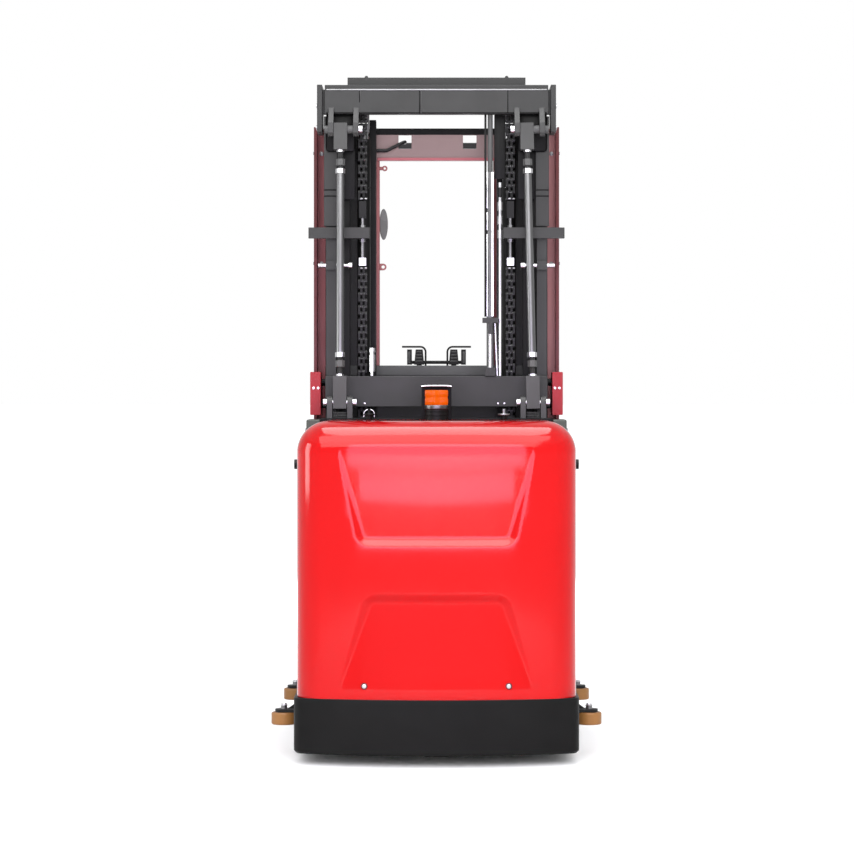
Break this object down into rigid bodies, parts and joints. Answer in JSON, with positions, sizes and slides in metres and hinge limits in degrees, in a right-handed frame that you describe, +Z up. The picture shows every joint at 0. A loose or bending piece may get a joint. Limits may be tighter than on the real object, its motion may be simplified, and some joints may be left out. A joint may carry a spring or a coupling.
{
  "type": "high-level order picker",
  "caption": "Order picker truck with a hooded drive end, a chain-lifted two-stage mast and a rising operator cab that carries forks and swing-up side gates.",
  "frame": {"origin": "on the floor under the middle of the machine's overall box", "axes": "+X to the machine's right seen from behind, +Y forward to the fork tips, +Z up"},
  "size_m": [1.232, 3.2879, 2.586],
  "materials": {
    "red_moulding": "glossy moulded cover, painted red",
    "red_steel": "satin red paint",
    "black_moulding": "fine grained black",
    "black_steel": "satin black paint",
    "grey_steel": "satin dark grey paint",
    "stay_steel": "zinc plated",
    "chrome": "hard chrome",
    "chain_steel": "oiled dark steel",
    "amber_lens": "clear amber ribbed",
    "tan_roller": "smooth polyurethane",
    "wheel_tyre": "smooth polyurethane",
    "cast_hub": "painted casting",
    "rubber_mat": "ribbed",
    "black_control": "soft grip",
    "mirror_glass": "dark shell",
    "hose_rubber": "smooth black hose",
    "battery_case": "plain"
  },
  "bodies": {
    "chassis": {"chassis_frame": "black_steel", "straddle_arms": "black_steel", "bumper_skirt": "black_moulding", "hood": "red_moulding", "hood_knobs": "black_moulding", "battery": "battery_case", "support_tower": "black_steel", "side_covers": "grey_steel", "outer_rails": "grey_steel", "mast_top_beam": "grey_steel", "mast_lower_beam": "black_steel", "mast_brackets": "black_steel", "mast_foot_covers": "red_steel", "mast_stays": "stay_steel", "lift_cylinders": "grey_steel", "mast_pipes": "stay_steel", "beacon_base": "black_moulding", "beacon_lens": "amber_lens", "beacon_guard": "black_steel", "load_axles": "stay_steel", "roller_brackets": "black_steel", "stay_blocks": "grey_steel", "chain_lower_runs": "chain_steel", "chain_adjusters": "stay_steel"},
    "steer": {"steer_unit": "cast_hub"},
    "drive_wheel": {"drive_tyre": "wheel_tyre", "drive_hub": "cast_hub"},
    "load_wheel_right": {"load_tyre_right": "wheel_tyre", "load_hub_right": "cast_hub"},
    "load_wheel_left": {"load_tyre_left": "wheel_tyre", "load_hub_left": "cast_hub"},
    "roller_rear_right": {"guide_roller_rear_right": "tan_roller"},
    "roller_rear_left": {"guide_roller_rear_left": "tan_roller"},
    "roller_front_right": {"guide_roller_front_right": "tan_roller"},
    "roller_front_left": {"guide_roller_front_left": "tan_roller"},
    "inner_mast": {"inner_rails": "grey_steel", "inner_mast_beam": "grey_steel", "chain_sheaves": "chain_steel", "lift_rods": "chrome", "mast_chains": "chain_steel"},
    "cab": {"cab_floor": "grey_steel", "floor_mat": "rubber_mat", "cab_rear_wall": "grey_steel", "cab_rear_panels": "grey_steel", "cab_rear_posts": "red_steel", "cab_inner_posts": "red_steel", "cab_header": "red_steel", "overhead_guard": "black_steel", "cab_front_posts": "black_steel", "console": "grey_steel", "control_handles": "black_control", "mirror": "mirror_glass", "cab_lugs": "red_steel", "cab_carriage": "grey_steel", "fork_carriage": "black_steel", "forks": "black_steel", "header_hose": "hose_rubber"},
    "gate_right": {"gate_right": "grey_steel"},
    "gate_left": {"gate_left": "grey_steel"}
  },
  "joints": [
    {"name": "steering", "type": "hinge", "parent": "chassis", "child": "steer", "pos_m": [0, -1.304, 0.26], "axis": [0, 0, 1], "range_deg": [-90, 90]},
    {"name": "drive_roll", "type": "hinge", "parent": "steer", "child": "drive_wheel", "pos_m": [0, -1.304, 0.125], "axis": [1, 0, 0], "continuous": true},
    {"name": "mast_lift", "type": "slide", "parent": "chassis", "child": "inner_mast", "axis": [0, 0, 1], "range_m": [0, 1.75]},
    {"name": "cab_lift", "type": "slide", "parent": "inner_mast", "child": "cab", "axis": [0, 0, 1], "range_m": [0, 1.75]},
    {"name": "load_roll_right", "type": "hinge", "parent": "chassis", "child": "load_wheel_right", "pos_m": [0.41, 0.176, 0.1], "axis": [1, 0, 0], "continuous": true},
    {"name": "roller_spin_rear_right", "type": "hinge", "parent": "chassis", "child": "roller_rear_right", "pos_m": [0.569, -1.164, 0.129], "axis": [0, 0, 1], "continuous": true},
    {"name": "roller_spin_front_right", "type": "hinge", "parent": "chassis", "child": "roller_front_right", "pos_m": [0.569, -0.224, 0.129], "axis": [0, 0, 1], "continuous": true},
    {"name": "gate_lift_right", "type": "hinge", "parent": "cab", "child": "gate_right", "pos_m": [0.509, -0.359, 1.15], "axis": [1, 0, 0], "range_deg": [0, 85]},
    {"name": "load_roll_left", "type": "hinge", "parent": "chassis", "child": "load_wheel_left", "pos_m": [-0.41, 0.176, 0.1], "axis": [1, 0, 0], "continuous": true},
    {"name": "roller_spin_rear_left", "type": "hinge", "parent": "chassis", "child": "roller_rear_left", "pos_m": [-0.569, -1.164, 0.129], "axis": [0, 0, 1], "continuous": true},
    {"name": "roller_spin_front_left", "type": "hinge", "parent": "chassis", "child": "roller_front_left", "pos_m": [-0.569, -0.224, 0.129], "axis": [0, 0, 1], "continuous": true},
    {"name": "gate_lift_left", "type": "hinge", "parent": "cab", "child": "gate_left", "pos_m": [-0.509, -0.359, 1.15], "axis": [1, 0, 0], "range_deg": [0, 85]}
  ],
  "couplings": [
    {"joint": "cab_lift", "follows": "mast_lift", "ratio": 1}
  ]
}
